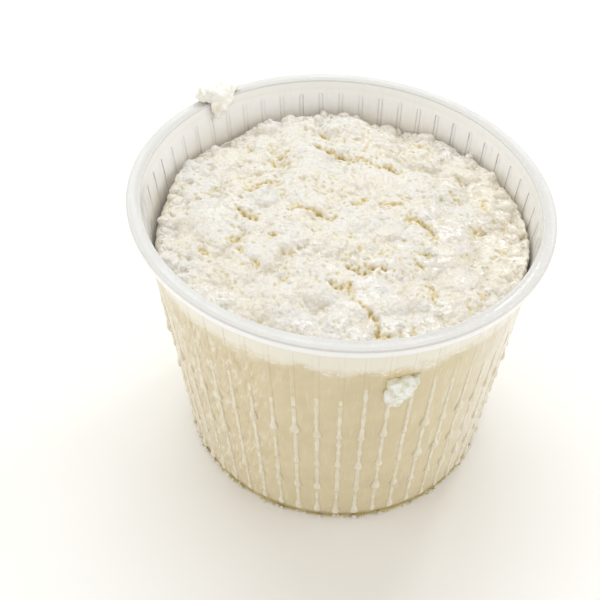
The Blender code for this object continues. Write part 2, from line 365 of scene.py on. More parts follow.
def ease(value, low, high):
    """0 below low, 1 above high and an S-shaped rise between."""
    part = np.clip((value - low) / (high - low), 0, 1)
    return part * part * (3 - 2 * part)


def line_distance(x, y, line):
    """Distance of each point from the nearest stretch of a line of points."""
    nearest = np.full(x.shape, np.inf)
    for (ax, ay), (bx, by) in zip(line, line[1:]):
        length = (bx - ax) ** 2 + (by - ay) ** 2
        part = np.clip(((x - ax) * (bx - ax) + (y - ay) * (by - ay)) / length, 0, 1)
        apart = np.hypot(x - ax - part * (bx - ax), y - ay - part * (by - ay))
        nearest = np.minimum(nearest, apart)
    return nearest


# Meshes from arrays

def grid_quads(rows, columns, wrap=True):
    """Quads of a grid numbered row by row, with the last column joined to the first when it wraps."""
    i, j = np.meshgrid(np.arange(rows - 1), np.arange(columns if wrap else columns - 1), indexing="ij")
    k = (j + 1) % columns
    corners = [i * columns + j, i * columns + k, (i + 1) * columns + k, (i + 1) * columns + j]
    return np.stack(corners, axis=-1).reshape(-1, 4)


def carry(data, fields):
    """Gives a mesh one value a point for each named field."""
    for name, values in fields.items():
        attribute = data.attributes.new(name, "FLOAT", "POINT")
        attribute.data.foreach_set("value", values.astype(np.float32))


def put_mesh(name, points, faces, material, fields=None):
    """Smooth mesh object from points and arrays of triangles or quads, and fields that it carries."""
    used = np.unique(np.concatenate([face.ravel() for face in faces]))
    number = np.zeros(len(points), dtype=np.int32)
    number[used] = np.arange(len(used))
    corners = np.concatenate([number[face].ravel() for face in faces])
    sizes = np.concatenate([np.full(len(face), face.shape[1]) for face in faces])
    data = bpy.data.meshes.new(name)
    data.vertices.add(len(used))
    data.vertices.foreach_set("co", points[used].astype(np.float32).ravel())
    data.loops.add(len(corners))
    data.loops.foreach_set("vertex_index", corners.astype(np.int32))
    data.polygons.add(len(sizes))
    data.polygons.foreach_set("loop_start", (np.cumsum(sizes) - sizes).astype(np.int32))
    data.polygons.foreach_set("loop_total", sizes.astype(np.int32))
    data.update(calc_edges=True)
    carry(data, {field: np.ravel(values)[used] for field, values in (fields or {}).items()})
    data.shade_smooth()
    data.materials.append(material)
    piece = bpy.data.objects.new(name, data)
    bpy.context.scene.collection.objects.link(piece)
    return piece


def dress(piece, slot, *nodes):
    """The piece moves with the one body and stands for these nodes. The slot is not used."""
    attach(piece, "root")
    if nodes:
        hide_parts(*nodes)


# Materials

class Socket:
    """One output of a material's nodes. Arithmetic on it adds Math nodes."""

    def __init__(self, paint, output):
        self.paint = paint
        self.output = output

    def __add__(self, other):
        return self.paint.math("ADD", self, other)

    def __radd__(self, other):
        return self.paint.math("ADD", other, self)

    def __sub__(self, other):
        return self.paint.math("SUBTRACT", self, other)

    def __rsub__(self, other):
        return self.paint.math("SUBTRACT", other, self)

    def __mul__(self, other):
        return self.paint.math("MULTIPLY", self, other)

    def __rmul__(self, other):
        return self.paint.math("MULTIPLY", other, self)


class Paint:
    """The nodes of one material, round its Principled shader."""

    def __init__(self, name, **constants):
        self.material = bpy.data.materials.new(name)
        self.material.use_nodes = True
        self.tree = self.material.node_tree
        self.shader = self.tree.nodes["Principled BSDF"]
        for socket, value in constants.items():
            self.shader.inputs[socket.replace("_", " ")].default_value = value

    def add(self, kind, settings=None, inputs=None, output=0):
        """Adds a node: its settings first, then a value or a link for each socket; gives one output."""
        node = self.tree.nodes.new(kind)
        for name, value in (settings or {}).items():
            setattr(node, name, value)
        for name, value in (inputs or {}).items():
            self.feed(node.inputs[name], value)
        return Socket(self, node.outputs[output])

    def feed(self, socket, value):
        """Links a socket to another node's output, or sets it to a plain value."""
        if isinstance(value, Socket):
            self.tree.links.new(value.output, socket)
        else:
            socket.default_value = value

    def set(self, **values):
        """Feeds the shader's sockets, named with _ for each space."""
        for name, value in values.items():
            self.feed(self.shader.inputs[name.replace("_", " ")], value)

    def math(self, operation, first, second=0.0):
        """One step of arithmetic on a socket or two."""
        return self.add("ShaderNodeMath", {"operation": operation}, {0: first, 1: second})

    def band(self, value, low, high, start=0.0, end=1.0):
        """start below low, end above high and an S-shaped change between."""
        settings = {"interpolation_type": "SMOOTHSTEP"}
        inputs = {"Value": value, "From Min": low, "From Max": high, "To Min": start, "To Max": end}
        return self.add("ShaderNodeMapRange", settings, inputs)

    def mix(self, share, first, second):
        """The first colour where share is 0 and the second where it is 1."""
        return self.add("ShaderNodeMix", {"data_type": "RGBA"}, {0: share, 6: first, 7: second}, output=2)

    def tint(self, colour, share, *screen):
        """The colour with this share of a screen colour over it."""
        return self.mix(share, colour, tone(*screen))

    def clouds(self, cloud, first, second, low=0.35, high=0.65):
        """Two screen colours that change over with the clouds of a noise."""
        return self.mix(self.band(cloud, low, high), tone(*first), tone(*second))

    def field(self, name):
        """A value that the mesh carries at its points."""
        return self.add("ShaderNodeAttribute", {"attribute_name": name}, output=2)

    def place(self):
        """Where a point is on the object."""
        return self.add("ShaderNodeTexCoord", output=3)

    def axes(self):
        """The x, y and z of where a point is on the object."""
        parts = self.add("ShaderNodeSeparateXYZ", inputs={0: self.place()})
        outputs = parts.output.node.outputs
        return [Socket(self, output) for output in outputs]

    def stretched(self, scale, turn=(0, 0, 0)):
        """Object coordinates turned and then stretched, for a pattern with a grain."""
        turned = self.add("ShaderNodeMapping", inputs={0: self.place(), 2: turn})
        return self.add("ShaderNodeMapping", inputs={0: turned, 3: scale})

    def noise(self, size, detail=3.0, rough=0.55, where=None):
        """Noise from about 0.25 to 0.75 whose waves are about one size long."""
        inputs = {"Vector": where or self.place(), "Scale": 1 / size, "Detail": detail, "Roughness": rough}
        return self.add("ShaderNodeTexNoise", inputs=inputs)

    def cells(self, size):
        """Distance to the nearest of many scattered points that lie about one size apart."""
        return self.add("ShaderNodeTexVoronoi", inputs={"Vector": self.place(), "Scale": 1 / size})

    def relief(self, height, depth):
        """Surface direction from a height from 0 to 1 that stands for this depth."""
        return self.add("ShaderNodeBump", inputs={"Height": height, "Distance": depth, "Strength": 1.0})


def tone(red, green, blue):
    """Scene-linear colour of a screen colour from 0 to 255."""
    screen = np.array([red, green, blue]) / 255
    linear = np.where(screen <= 0.04045, screen / 12.92, ((screen + 0.055) / 1.055) ** 2.4)
    return (*linear.tolist(), 1.0)


def natural_plastic():
    """Milky polypropylene: beige where curd lies behind it, pale grey above, clouded and finely streaked,
    with its inner face painted near white as painted light for what comes through the thin wall.
    """
    paint = Paint("natural_plastic", IOR=1.49, Coat_Roughness=0.08)
    height = paint.field("height")
    inside = paint.field("inside")
    x, y, z = paint.axes()
    cloud = paint.noise(0.013)
    mottle = paint.noise(0.0011, 4, 0.65)
    streak = paint.noise(0.0012, 3, 0.6, paint.stretched((1, 1, 0.05)))
    crease = paint.noise(0.0016, 3, 0.6, paint.stretched((1, 1, 0.10), (0, math.radians(-18), 0)))
    left = paint.band(-1 * x - 0.4 * y, 0.030, 0.056)
    left = left * paint.band(height, *CREASES_FADE, 1.0, 0.0) * (1 - inside)
    right = paint.band(x, 0.022, 0.046)
    ripple = paint.noise(0.0045)
    over_line = height - (FILL_LINE + 0.009 * cloud + 0.008 * ripple)
    curd_behind = paint.clouds(cloud, (218, 204, 168), (210, 195, 154), 0.3, 0.7)
    outer = paint.tint(curd_behind, paint.band(over_line, -0.0030, 0.0032), 238, 233, 218)
    outer = paint.tint(outer, paint.band(x, 0.036, 0.056, 0.0, 0.45), 240, 236, 230)
    seep_x, seep_z = x - LUMP_SEEP[0], z - LUMP_SEEP[1]
    low, high = (reach ** 2 for reach in SEEP_FADE)
    seep = paint.band(seep_x * seep_x + seep_z * seep_z, low, high, 0.45, 0.0)
    outer = paint.tint(outer, seep * paint.band(y, -0.03, -0.02, 1, 0), 221, 198, 138)
    gleam = paint.band(paint.math("ABSOLUTE", over_line), 0.0002, 0.0007, 0.7, 0.0)
    outer = paint.tint(outer, gleam * paint.band(mottle, 0.5, 0.6), 250, 247, 238)
    outer = paint.tint(outer, paint.band(height, *FOOT_STAIN, 0.6, 0.0), 150, 132, 68)
    # Painted light: the inner face, and the backs of the slot skins, near white for the light that passes
    # through the thin milky wall.
    inner = paint.clouds(height, (252, 249, 242), (253, 252, 252), *WET_EDGE)
    colour = paint.mix(inside, outer, inner)
    colour = paint.tint(colour, paint.band(height, *LIP_FADE), 249, 249, 248)
    colour = paint.tint(colour, paint.band(height, *TOP_FADE), 219, 217, 214)
    light = paint.band(streak, 0.54, 0.70) * (0.2 + 0.35 * right) + paint.band(mottle, 0.6, 0.75, 0.0, 0.2)
    colour = paint.tint(colour, light, 240, 236, 226)
    colour = paint.tint(colour, 0.3 * left, 214, 195, 160)
    colour = paint.tint(colour, paint.band(crease, 0.53, 0.68, 0.0, 0.55) * left, 184, 162, 114)
    colour = paint.tint(colour, paint.band(crease, 0.36, 0.46, 0.6, 0.0) * left, 243, 237, 222)
    bumps = 0.5 * mottle + 0.7 * streak + 2.6 * crease * left
    paint.set(Base_Color=colour, Roughness=0.22 + 0.3 * mottle, Normal=paint.relief(bumps, 0.00025),
              Coat_Weight=paint.band(cloud, 0.35, 0.65, 0.2, 0.7))
    return paint.material


def fresh_curd(name, depth):
    """Moist curd: off-white grains, straw-brown whey in the cavities, the hollows and the edges of the beads
    darkened tan, partly whey and partly painted shade, and wet glints on the higher ones.

    Light sinks in to this depth share; small things that overlap others take 0.
    """
    paint = Paint(name, IOR=1.42, Subsurface_Weight=depth, Subsurface_Scale=0.0006,
                  Coat_Roughness=0.10, Subsurface_Radius=(1.0, 0.85, 0.6))
    cavity = paint.field("cavity")
    hollow = paint.field("hollow")
    wetness = paint.field("wetness")
    cloud = paint.noise(0.012)
    patch = paint.noise(0.004, 2)
    grain = paint.noise(0.0007, 3, 0.6)
    speck = paint.noise(0.0010, 2)
    apart = paint.cells(0.0012)
    x, _, _ = paint.axes()
    body = paint.clouds(cloud, (235, 232, 228), (237, 231, 220))
    body = paint.tint(body, paint.band(x, 0.038, 0.056, 0.0, 0.6), 247, 237, 219)
    # Painted shade between the beads, partly whey tint: darker tan where the bump's beads fall away at their
    # cells' edges.
    body = paint.tint(body, paint.band(apart, 0.35, 0.75, 0.0, 0.22), 220, 211, 187)
    body = paint.tint(body, paint.band(speck, 0.58, 0.70, 0.0, 0.4), 207, 193, 154)
    # Painted shade in the hollows of the surface, partly the whey's tan.
    body = paint.tint(body, 0.4 * hollow, 216, 206, 180)
    colour = paint.tint(body, paint.band(cavity, 0.08, 0.45, 0.0, 0.8), 227, 212, 167)
    colour = paint.tint(colour, paint.band(cavity, 0.4, 0.95), 203, 177, 108)
    film = paint.band(wetness + 0.5 * cloud + 0.4 * patch, 0.9, 1.15) * (1 - hollow)
    beads = (1 - apart * apart) + 0.8 * grain
    paint.set(Base_Color=colour, Roughness=0.52 - 0.25 * film, Coat_Weight=0.15 + 0.8 * film,
              Normal=paint.relief(beads, 0.00030))
    return paint.material


def oozed_curd():
    """Curd pressed out of the slots: pale, smooth and wet, close to the wall's own colour."""
    paint = Paint("oozed_curd", IOR=1.42, Coat_Roughness=0.06)
    cloud = paint.noise(0.004)
    grain = paint.noise(0.0007)
    paint.set(Base_Color=paint.clouds(cloud, (235, 228, 209), (225, 216, 190)), Roughness=0.35 + 0.2 * grain,
              Coat_Weight=paint.band(cloud, 0.4, 0.6, 0.25, 0.8), Normal=paint.relief(grain, 0.0003))
    return paint.material


def wet_clump(name, light, dull, hollow, edge, ripple_depth):
    """Loose curd, glassy with whey: light and dull in clouds, with its own screen colours for both,
    for the hollows where whey gathers and for the thin edge.
    """
    paint = Paint(name, IOR=1.42, Subsurface_Weight=0.2, Subsurface_Scale=0.0008,
                  Coat_Roughness=0.04, Subsurface_Radius=(1.0, 0.95, 0.8))
    cavity = paint.field("cavity")
    cloud = paint.noise(0.0024)
    grain = paint.noise(0.0009)
    # Where the light colour is near white, as on the lump, its clouds are partly painted highlights.
    colour = paint.clouds(cloud, light, dull, 0.38, 0.62)
    colour = paint.tint(colour, paint.band(cavity, 0.15, 0.75, 0.0, 0.8), *hollow)
    colour = paint.tint(colour, 0.8 * paint.field("thin"), *edge)
    paint.set(Base_Color=colour, Roughness=0.22 + 0.25 * grain, Normal=paint.relief(grain, ripple_depth),
              Coat_Weight=paint.band(cloud, 0.35, 0.6, 1.0, 0.5))
    return paint.material


def white_table():
    """Matt white floor with the faintest unevenness."""
    paint = Paint("white_table", Roughness=0.7, IOR=1.3)
    cloud = paint.noise(0.2, 2)
    paint.set(Base_Color=paint.mix(cloud, tone(251, 250, 249), tone(253, 252, 251)))
    return paint.material


# The tub

def across_ring(radius, slot_offsets):
    """Angles of one ring of the wall: the columns across each slot, then even steps to the next slot."""
    first, last = slot_offsets[0] / radius, slot_offsets[-1] / radius
    step = (math.tau / SLOT_COUNT - last + first) / (STRIP_COLUMNS + 1)
    strip = last + step * np.arange(1, STRIP_COLUMNS + 1)
    one = np.concatenate([slot_offsets / radius, strip])
    return (SLOT_MIDDLES[:, None] + one).ravel()


def slot_row(z, kind, sign):
    """One ring of the wall near a slot as offsets across the slot, rises and sinks, in metres.

    An end row follows the half circle that ends the slot, sunk for its rounded edge. A hug row
    follows the part of a wider circle just beyond it. Any other row is level.
    """
    half = SLOT_WIDTH / 2
    offsets = ACROSS_SLOT * half
    rise = np.zeros(len(offsets))
    strip_rise = 0.0
    sink = np.zeros(len(offsets))
    if kind == "end":
        turn = np.radians(np.linspace(-90, 90, 5))
        offsets[1:6] = half * np.sin(turn)
        rise[1:6] = sign * half * np.cos(turn)
        sink[1:6] = SLOT_SINK
    elif kind == "hug":
        turn = np.radians(np.linspace(-64, 64, 7))
        offsets = half * (1 + SLOT_MARGIN) * np.sin(turn)
        rise = sign * half * (1 + SLOT_MARGIN) * np.cos(turn)
        strip_rise = rise[0]
    elif kind == "slot":
        sink[1:6] = SLOT_SINK
    one_rise = np.concatenate([rise, np.full(STRIP_COLUMNS, strip_rise)])
    one_sink = np.concatenate([sink, np.zeros(STRIP_COLUMNS)])
    return z + np.tile(one_rise, SLOT_COUNT), offsets, np.tile(one_sink, SLOT_COUNT)


def wall_rows():
    """The rings up the wall, and for each row of slots the numbers of its two end rings."""
    half = SLOT_WIDTH / 2
    rows, ends = [], []
    for low, high in SLOT_ROWS:
        start, stop = low + half, high - half
        steps = max(2, round((stop - start) / WALL_ROW_STEP))
        rows += [(low - SLOT_CLEAR * half, "level", 0), (start, "hug", -1)]
        ends.append((len(rows), len(rows) + steps))
        inner = np.linspace(start, stop, steps + 1)[1:-1]
        rows += [(start, "end", -1)] + [(z, "slot", 0) for z in inner] + [(stop, "end", 1)]
        rows += [(stop, "hug", 1), (high + SLOT_CLEAR * half, "level", 0)]
    return rows, ends


def arc(middle_radius, middle_z, size, start, stop, count):
    """Points of a section's round stretch, its angles in degrees from outwards, up."""
    turn = np.radians(np.linspace(start, stop, count))
    return list(zip(middle_radius + size * np.cos(turn), middle_z + size * np.sin(turn)))


def flange_section():
    """Section from under the flange, round the lip and over the top to the mouth.

    The flange is a little dished between a low bead at its outer edge and one at the mouth.
    """
    under = HEIGHT - FLANGE_THICKNESS
    lip_inner = RIM_RADIUS - FLANGE_THICKNESS
    bottom = HEIGHT - LIP_DEPTH
    tip = FLANGE_THICKNESS / 2
    section = [(wall_outer(under - 0.0012), under - 0.0012)]
    section += [(wall_outer(under) + 0.0002, under - 0.0002), (wall_outer(under) + 0.0007, under)]
    section += [(lip_inner - 0.0004, under), (lip_inner, under - 0.0004)]
    section += arc(RIM_RADIUS - tip, bottom + 0.6 * tip, tip, 180, 360, 7)
    section += arc(RIM_RADIUS - LIP_ROUND, HEIGHT - LIP_ROUND, LIP_ROUND, 0, 90, 5)
    dish = HEIGHT - 0.00022
    section += [(RIM_RADIUS - LIP_ROUND - 0.0005, dish), (RIM_RADIUS - 0.5 * FLANGE_WIDTH, dish - 0.00004)]
    mouth = RIM_RADIUS - FLANGE_WIDTH
    section += [(mouth + MOUTH_ROUND + 0.0004, dish)]
    section += arc(mouth + MOUTH_ROUND, HEIGHT - MOUTH_ROUND, MOUTH_ROUND, 90, 180, 4)
    section += [(wall_inner(under), under), (wall_inner(under - 0.0012), under - 0.0012)]
    return section


def floor_angles(radius):
    """Angles of a ring of the floor, with the columns that edge its radial slots kept parallel."""
    half = math.asin(FLOOR_SLOT_WIDTH / 2 / max(radius, FLOOR_SLOT_RADII[1]))
    slot = np.linspace(-half, half, ACROSS_COUNT)
    rest = np.linspace(half, math.tau / FLOOR_SLOTS - half, PER_FLOOR_SLOT - ACROSS_COUNT + 2)[1:-1]
    middles = SLOT_PHASE + math.tau * np.arange(FLOOR_SLOTS) / FLOOR_SLOTS
    return (middles[:, None] + np.concatenate([slot, rest])).ravel()


def wobble(angle, z):
    """Slight unevenness of the moulded wall: soft waves in radius, nothing at the base."""
    points = around(0.060, angle, z)
    swell = wave_field(points, 0.016, 21) + 0.6 * wave_field(points, 0.006, 22)
    return WALL_WOBBLE * swell * ease(np.asarray(z), 0.002, 0.012)


def build_tub(material):
    """One closed shell: under the floor, up the slotted outside, over the flange and down the inside."""
    rows, ends = wall_rows()
    plain = ACROSS_SLOT * SLOT_WIDTH / 2
    floor_top = FOOT_HEIGHT + FLOOR_THICKNESS
    floor_radii = np.linspace(FLOOR_SLOT_RADII[1], FLOOR_SLOT_RADII[0], 5)
    rings = []

    def add_plain(radius, z, angles, inside):
        rings.append((np.full(RING, radius), angles, np.full(RING, z), np.full(RING, inside)))

    def add_wall(face, turn, inside):
        for z, kind, sign in rows[::turn]:
            heights, offsets, sink = slot_row(z, kind, sign)
            radius = face(heights) - turn * sink
            angles = across_ring(wall_outer(z), offsets)
            rings.append((radius + wobble(angles, heights), angles, heights, np.full(RING, inside)))

    for radius in (HUB_RADIUS, *floor_radii):
        add_plain(radius, FOOT_HEIGHT, floor_angles(radius), 0.0)
    foot_outer = BASE_RADIUS - FOOT_ROUND
    foot_inner = foot_outer - FOOT_WIDTH
    plain_angles = across_ring(BASE_RADIUS, plain)
    foot = [(foot_inner - 0.0003, FOOT_HEIGHT), (foot_inner, FOOT_HEIGHT - 0.0003), (foot_inner, 0.0003)]
    foot += [(foot_inner + 0.0003, 0.0), (foot_outer - 0.0004, 0.0)]
    foot += arc(foot_outer - 0.0002, FOOT_ROUND, FOOT_ROUND, -70, -8, 4)
    for radius, z in foot:
        add_plain(radius, z, plain_angles, 0.0)
    outer_start = len(rings)
    add_wall(wall_outer, 1, 0.0)
    for radius, z in flange_section():
        add_plain(radius, z, across_ring(RIM_RADIUS, plain), 0.5)
    inner_start = len(rings)
    add_wall(wall_inner, -1, 1.0)
    add_plain(wall_inner(floor_top), floor_top, plain_angles, 1.0)
    for radius in (*floor_radii[::-1], HUB_RADIUS):
        add_plain(radius, floor_top, floor_angles(radius), 1.0)

    radii, angles, heights, inside = (np.array(part) for part in zip(*rings))
    points = around(radii, angles, heights).reshape(-1, 3)
    quads = grid_quads(len(rings), RING)
    ring_of, column_of = np.divmod(quads[:, 0], RING)
    gone = np.zeros(len(quads), dtype=bool)
    sides = []

    def cut(columns, first, stop):
        gone[columns & (ring_of >= first) & (ring_of < stop)] = True

    in_slot = np.isin(column_of % PER_SLOT, (1, 2, 3, 4))
    inner_last = inner_start + len(rows) - 1
    for low, high in ends:
        cut(in_slot, outer_start + low, outer_start + high)
        cut(in_slot, inner_last - high, inner_last - low)
        sides.append(slot_sides(outer_start + low, outer_start + high, inner_last - low))
    in_floor_slot = column_of % PER_FLOOR_SLOT < ACROSS_COUNT - 1
    count, last = len(floor_radii), len(rings) - 1
    cut(in_floor_slot, 1, count)
    cut(in_floor_slot, last - count, last - 1)
    sides.append(floor_sides(count, last))
    centres = np.array([[0, 0, FOOT_HEIGHT], [0, 0, floor_top]])
    hub = len(points)
    turn = np.arange(RING)
    ahead = (turn + 1) % RING
    fans = [np.stack([np.full(RING, hub), ahead, turn], axis=-1),
            np.stack([np.full(RING, hub + 1), last * RING + turn, last * RING + ahead], axis=-1)]
    points = settle(np.concatenate([points, centres]))
    fields = {"height": np.append(heights.ravel(), [0, 0]), "inside": np.append(inside.ravel(), [0, 1])}
    piece = put_mesh("slotted_tub", points, [quads[~gone]] + sides + fans, material, fields)
    dress(piece, "natural_plastic", "basket")


def loop_sides(outer_loop, inner_loop):
    """Quads from a hole's outline on the outer face to the same outline on the inner face."""
    here, there = np.arange(len(outer_loop)), np.roll(np.arange(len(outer_loop)), -1)
    return np.stack([outer_loop[here], inner_loop[here], inner_loop[there], outer_loop[there]], axis=-1)


def slot_sides(outer_low, outer_high, inner_low):
    """The wall's thickness round every slot of one row: up its right edge, over, down its left and under."""
    count = outer_high - outer_low
    up = np.arange(count + 1)
    level = np.concatenate([up, np.full(3, count), up[::-1], np.zeros(3, dtype=int)])
    column = np.concatenate([np.full(count + 1, 5), [4, 3, 2], np.full(count + 1, 1), [2, 3, 4]])
    sides = []
    for first in range(0, RING, PER_SLOT):
        outer_loop = (outer_low + level) * RING + first + column
        inner_loop = (inner_low - level) * RING + first + column
        sides.append(loop_sides(outer_loop, inner_loop))
    return np.concatenate(sides)


def floor_sides(count, last):
    """The floor's thickness round every radial slot."""
    out = np.arange(1, count + 1)
    across = np.arange(1, ACROSS_COUNT - 1)
    level = np.concatenate([out, np.full(len(across), count), out[::-1], np.ones(len(across), dtype=int)])
    column = np.concatenate([np.zeros(count, dtype=int), across,
                             np.full(count, ACROSS_COUNT - 1), across[::-1]])
    sides = []
    for first in range(0, RING, PER_FLOOR_SLOT):
        under_loop = level * RING + first + column
        top_loop = (last - level) * RING + first + column
        sides.append(loop_sides(under_loop, top_loop))
    return np.concatenate(sides)


# The ricotta

def unit_disc(count):
    """A square grid bent onto the unit disc: each square outline becomes a circle, so the cells stay even."""
    side = np.linspace(-1, 1, count)
    a, b = np.meshgrid(side, side, indexing="ij")
    wide = np.abs(a) >= np.abs(b)
    radius = np.where(wide, a, b)
    safe = np.where(radius == 0, 1, radius)
    turn = np.where(wide, math.pi / 4 * b / safe, math.pi / 2 - math.pi / 4 * a / safe)
    return radius * np.cos(turn), radius * np.sin(turn)


def plate_field():
    """Centres and step heights of the plates that the curd's top is broken into, as in the part's source."""
    rng = np.random.default_rng(SEED)
    radius = wall_inner(CURD_EDGE) * np.sqrt(rng.random(PLATE_COUNT))
    angle = math.tau * rng.random(PLATE_COUNT)
    centres = np.stack([radius * np.sin(angle), -radius * np.cos(angle)], axis=1)
    return centres, rng.uniform(-PLATE_STEP, PLATE_STEP, PLATE_COUNT)


def patch_share(x, y, middle, half_sizes):
    """1 in the middle of an oval patch and 0 from its outline on."""
    apart = np.hypot((x / MM - middle[0]) / half_sizes[0], (y / MM - middle[1]) / half_sizes[1])
    return 1 - ease(apart, 0.55, 1.15)


def curd_surface(x, y):
    """Height of the curd's top and how much of a whey-stained cavity each point lies in.

    A dome with soft waves, one step for each plate, creases along named lines and between the
    plates, raised clumps, and layers of round grains that thin out on the smooth patches.
    """
    flat = np.stack([x, y, np.zeros_like(x)], axis=-1)
    reach = wall_inner(CURD_EDGE) - EDGE_INSET
    share = np.minimum(1, np.hypot(x, y) / reach)
    calm = 1 - share ** 6
    z = CURD_EDGE + DOME * (1 - share ** 2.4)
    z = z + RIGHT_RISE * ease(share, 0.72, 1.0) * right_side(np.arctan2(x, -y))
    for number, (height, length) in enumerate(WAVES):
        z = z + height * wave_field(flat, length, 30 + number)
    soft_x = x + 0.0010 * wave_field(flat, 0.0038, 40)
    soft_y = y + 0.0010 * wave_field(flat, 0.0038, 42)
    bent_x = soft_x + 0.0006 * wave_field(flat, 0.0016, 41)
    bent_y = soft_y + 0.0006 * wave_field(flat, 0.0016, 43)

    centres, steps = plate_field()
    distance = np.hypot(centres[:, 0] - bent_x[..., None], centres[:, 1] - bent_y[..., None])
    order = np.argsort(distance, axis=-1)[..., :2]
    near, next_near = np.moveaxis(np.take_along_axis(distance, order, axis=-1), -1, 0)
    lean = 0.5 + 0.5 * ease(next_near - near, 0, 0.003)
    step = lean * steps[order[..., 0]] + (1 - lean) * steps[order[..., 1]]
    broken = ease(wave_field(flat, 0.011, 44), -0.1, 0.5)
    seam = np.maximum(0, 1 - (next_near - near) / CREVICE_WIDTH) * broken
    z = z + calm * (0.6 * step - CREVICE_DEPTH * seam)

    billow, billow_seam = cell_layer(bent_x, bent_y, BILLOWS[0], 3)
    lobe, lobe_seam = cell_layer(bent_x, bent_y, LOBES[0], 5)
    bead, _ = cell_layer(bent_x, bent_y, BEADS[0], 8)
    smooth = np.zeros_like(x)
    for middle, half_sizes, rise in SMOOTH_PATCHES:
        part = patch_share(x, y, middle, half_sizes)
        smooth = np.maximum(smooth, part)
        z = z + rise * MM * part
    for middle, half_sizes, rise in CLUMPS:
        z = z + rise * MM * patch_share(x, y, middle, half_sizes)
    crumbly = ease(wave_field(flat, 0.010, 45) + 0.4 * (share - 0.5), -0.2, 0.6)
    crumbly = np.maximum(crumbly, ease(share, 0.8, 0.95)) * (1 - smooth)
    z = z + BILLOWS[1] * (billow - 0.8) + LOBES[1] * (lobe - 0.8) * (0.5 + 0.5 * crumbly) * (1 - 0.6 * smooth)
    z = z + BEADS[1] * (bead - 0.8) * (0.5 + 0.5 * crumbly) * (1 - 0.7 * smooth)

    stain = 0.2 * seam
    beaded = 0.45 + 0.55 * ease(wave_field(flat, 0.0014, 46), -0.35, 0.25)
    spots = pit_layer(soft_x, soft_y, SPOT_SPACING, 13, np.full(x.shape, EVERY_CELL))
    close_by = np.zeros_like(x)
    for depth, half_width, *line in CREASES:
        apart = line_distance(bent_x / MM, bent_y / MM, line)
        groove = 0.5 * beaded * np.exp(-(apart / (0.7 * half_width)) ** 2)
        groove = np.minimum(1, groove + 0.9 * spots * np.exp(-(apart / (1.3 * half_width)) ** 2))
        z = z - 0.60 * depth * MM * groove
        z = z - 0.14 * depth * MM * np.exp(-(apart / CREASE_REACH) ** 2)
        stain = np.maximum(stain, min(1, 0.55 + 0.3 * depth) * groove ** 0.8)
        close_by = np.maximum(close_by, 0.5 * depth * np.exp(-(apart / CREASE_REACH) ** 2))
    chains = np.exp(-(billow_seam / 0.0011) ** 2) * broken + 0.6 * np.exp(-(lobe_seam / 0.0007) ** 2) * broken
    density = 0.17 + 0.80 * close_by + 0.62 * chains
    pits = pit_layer(soft_x, soft_y, PIT_SPACING, 12, density * (1 - smooth))
    z = z - PIT_DEPTH * pits
    stain = np.maximum(stain, (0.7 + 0.3 * close_by) * pits)
    return z, stain


def soften(values, times):
    """Mean with the neighbours on the grid, taken this many times."""
    for _ in range(times):
        padded = np.pad(values, 1, mode="edge")
        beside = padded[:-2, 1:-1] + padded[2:, 1:-1] + padded[1:-1, :-2] + padded[1:-1, 2:]
        values = (beside + 2 * values) / 6
    return values


def edge_of_grid(count):
    """Numbers of a square grid's outer points, once round."""
    run = np.arange(count - 1)
    last = count - 1
    return np.concatenate([run * count, last * count + run, (last - run) * count + last, last - run])


def right_side(angle):
    """1 at the right of the curd, where it is swollen against the wall, and 0 from its front to its back."""
    return np.exp(-((angle - RIGHT_ANGLE) / RIGHT_SPREAD) ** 2)


def curd_gap(angle):
    """How far the curd has drawn away from the wall near its upper edge, on either side."""
    gap = 0
    for middle, half_width, depth in GAPS:
        turn = (np.degrees(angle) - middle + 180) % 360 - 180
        gap = gap + depth * np.exp(-(turn / half_width) ** 2)
    return gap


